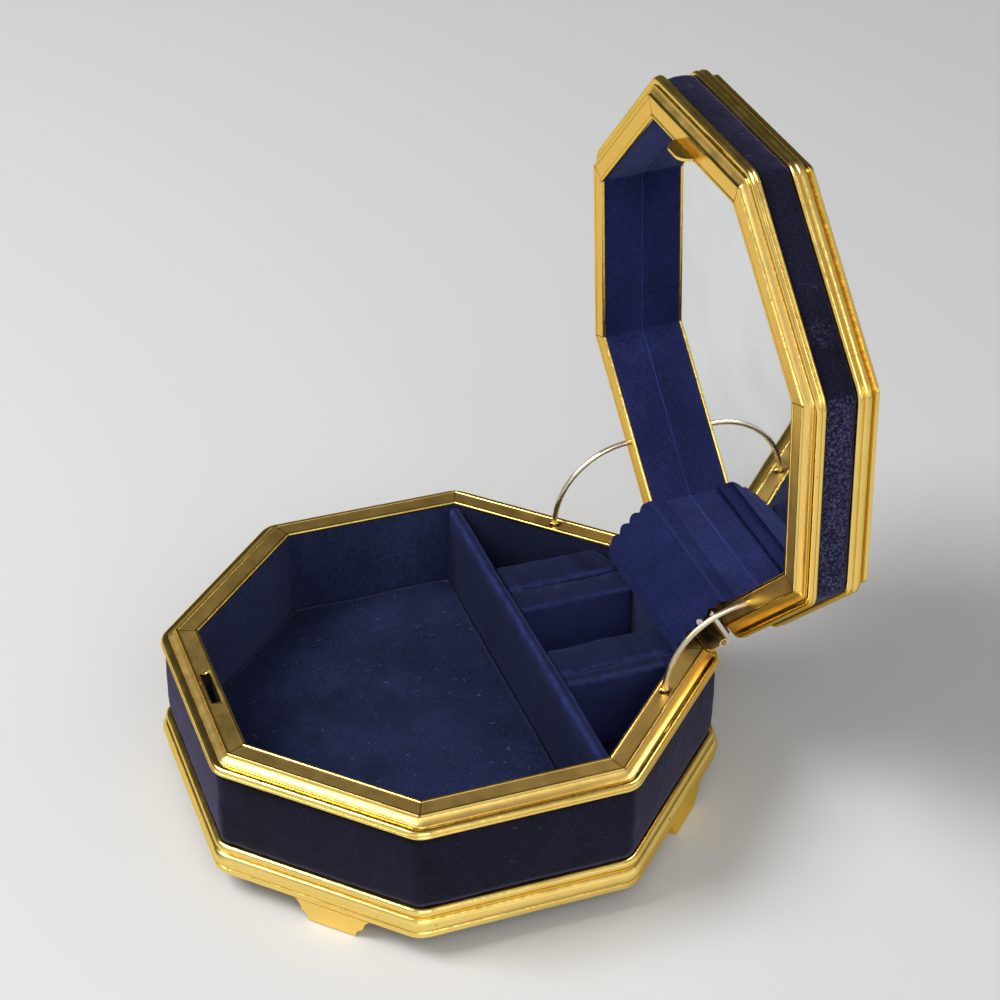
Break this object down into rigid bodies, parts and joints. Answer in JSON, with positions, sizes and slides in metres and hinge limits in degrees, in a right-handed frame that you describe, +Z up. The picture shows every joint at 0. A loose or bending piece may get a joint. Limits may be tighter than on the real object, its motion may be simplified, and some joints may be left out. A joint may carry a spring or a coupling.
{
  "type": "octagonal velvet jewel box with mirror lid",
  "caption": "Octagonal velvet-covered jewel box with gilt mouldings, bracket feet, a padded ring compartment and a hinged lid lined with a mirror.",
  "frame": {"origin": "on the floor under the middle of the open box's outline", "axes": "+X to the right along the hinge, +Y to the back where the hinge is, +Z up; the latch slot is at the front, towards -Y"},
  "size_m": [0.1732, 0.1983, 0.2249],
  "materials": {
    "gilt": "worn polished gilt",
    "hinge_brass": "satin",
    "stay_wire": "drawn wire",
    "outer_velvet": "brushed velvet pile",
    "inner_velvet": "short velvet pile",
    "flap_velvet": "short velvet pile, pinked ends",
    "mirror_glass": "silvered glass",
    "core_board": "plain board, hidden"
  },
  "bodies": {
    "base": {"base_rim": "gilt", "base_wall": "core_board", "base_velvet": "outer_velvet", "base_lining": "inner_velvet", "base_plinth": "gilt", "base_board": "core_board", "base_paper": "inner_velvet", "foot_front_right": "gilt", "foot_back_right": "gilt", "foot_back_left": "gilt", "foot_front_left": "gilt", "floor_pad": "inner_velvet", "divider": "inner_velvet", "ring_tray": "inner_velvet", "ring_roll_1": "inner_velvet", "ring_roll_2": "inner_velvet", "ring_roll_3": "inner_velvet", "ring_roll_4": "inner_velvet", "hinge_base_leaf": "hinge_brass", "hinge_pin": "stay_wire", "hinge_cover": "flap_velvet"},
    "lid": {"hinge_lid_leaf": "hinge_brass", "lid_rim": "gilt", "lid_wall": "core_board", "lid_velvet": "outer_velvet", "lid_lining": "inner_velvet", "lid_crown": "gilt", "mirror": "mirror_glass", "lid_board": "core_board", "lid_top_pad": "outer_velvet", "latch_tongue": "gilt", "stay_left": "stay_wire", "stay_right": "stay_wire"}
  },
  "joints": [
    {"name": "lid_hinge", "type": "hinge", "parent": "base", "child": "lid", "pos_m": [0, 0.07439, 0.05267], "axis": [1, 0, 0], "range_deg": [0, 87.5], "deforming": ["stay_left", "stay_right", "hinge_cover"]}
  ]
}
